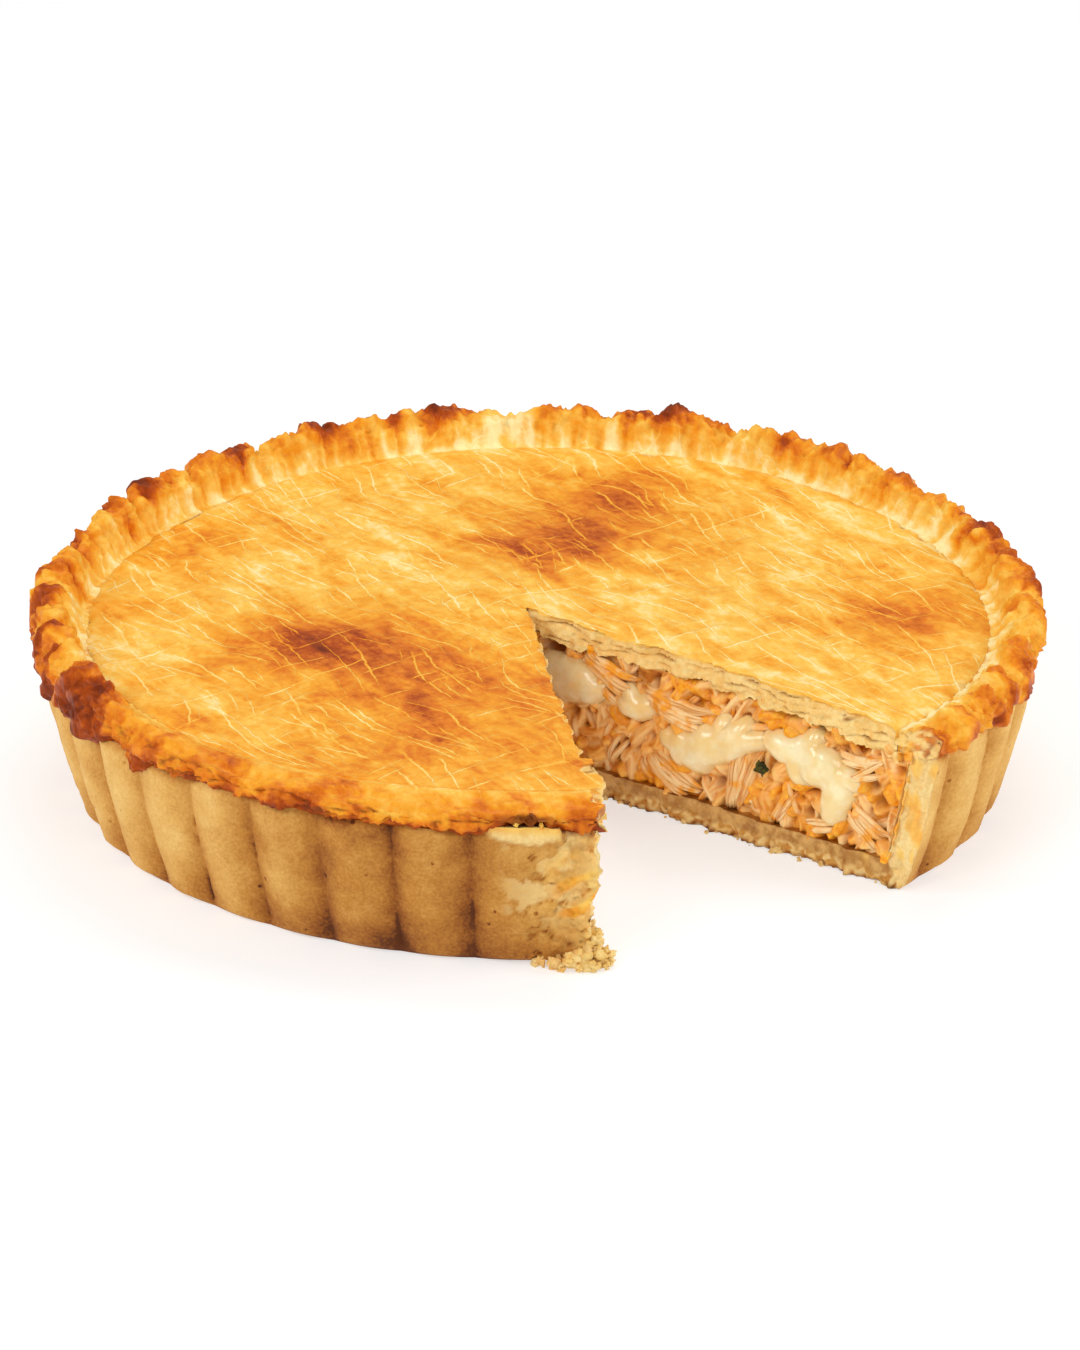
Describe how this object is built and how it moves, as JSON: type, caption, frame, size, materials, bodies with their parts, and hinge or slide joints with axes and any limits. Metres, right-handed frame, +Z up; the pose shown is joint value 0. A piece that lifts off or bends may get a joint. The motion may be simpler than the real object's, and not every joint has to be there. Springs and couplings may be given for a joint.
{
  "type": "chicken pot pie",
  "caption": "Round double-crust pie with a fluted shortcrust wall, a browned crimped lid and an eighth cut out, showing shredded chicken filling and melted cheese at the cut faces.",
  "frame": {"origin": "on the surface the pie stands on, under the middle of the whole round pie", "axes": "+Z up, the missing eighth opens towards -Y and +X, +X to the right as seen from the front"},
  "size_m": [0.25, 0.2493, 0.0515],
  "materials": {
    "case_pastry": "matte, grainy shortcrust",
    "lid_pastry": "egg-washed, browned, softly glossy",
    "filling": "moist shredded chicken in sauce",
    "cheese": "smooth, melted, translucent"
  },
  "bodies": {
    "root": {"pastry_case": "case_pastry", "pastry_lid": "lid_pastry", "chicken_filling": "filling", "cheese_top": "cheese", "cheese_dab": "cheese", "cheese_strand": "cheese", "cheese_drip": "cheese", "cheese_left_pool": "cheese", "cheese_left_drip": "cheese"}
  },
  "joints": []
}
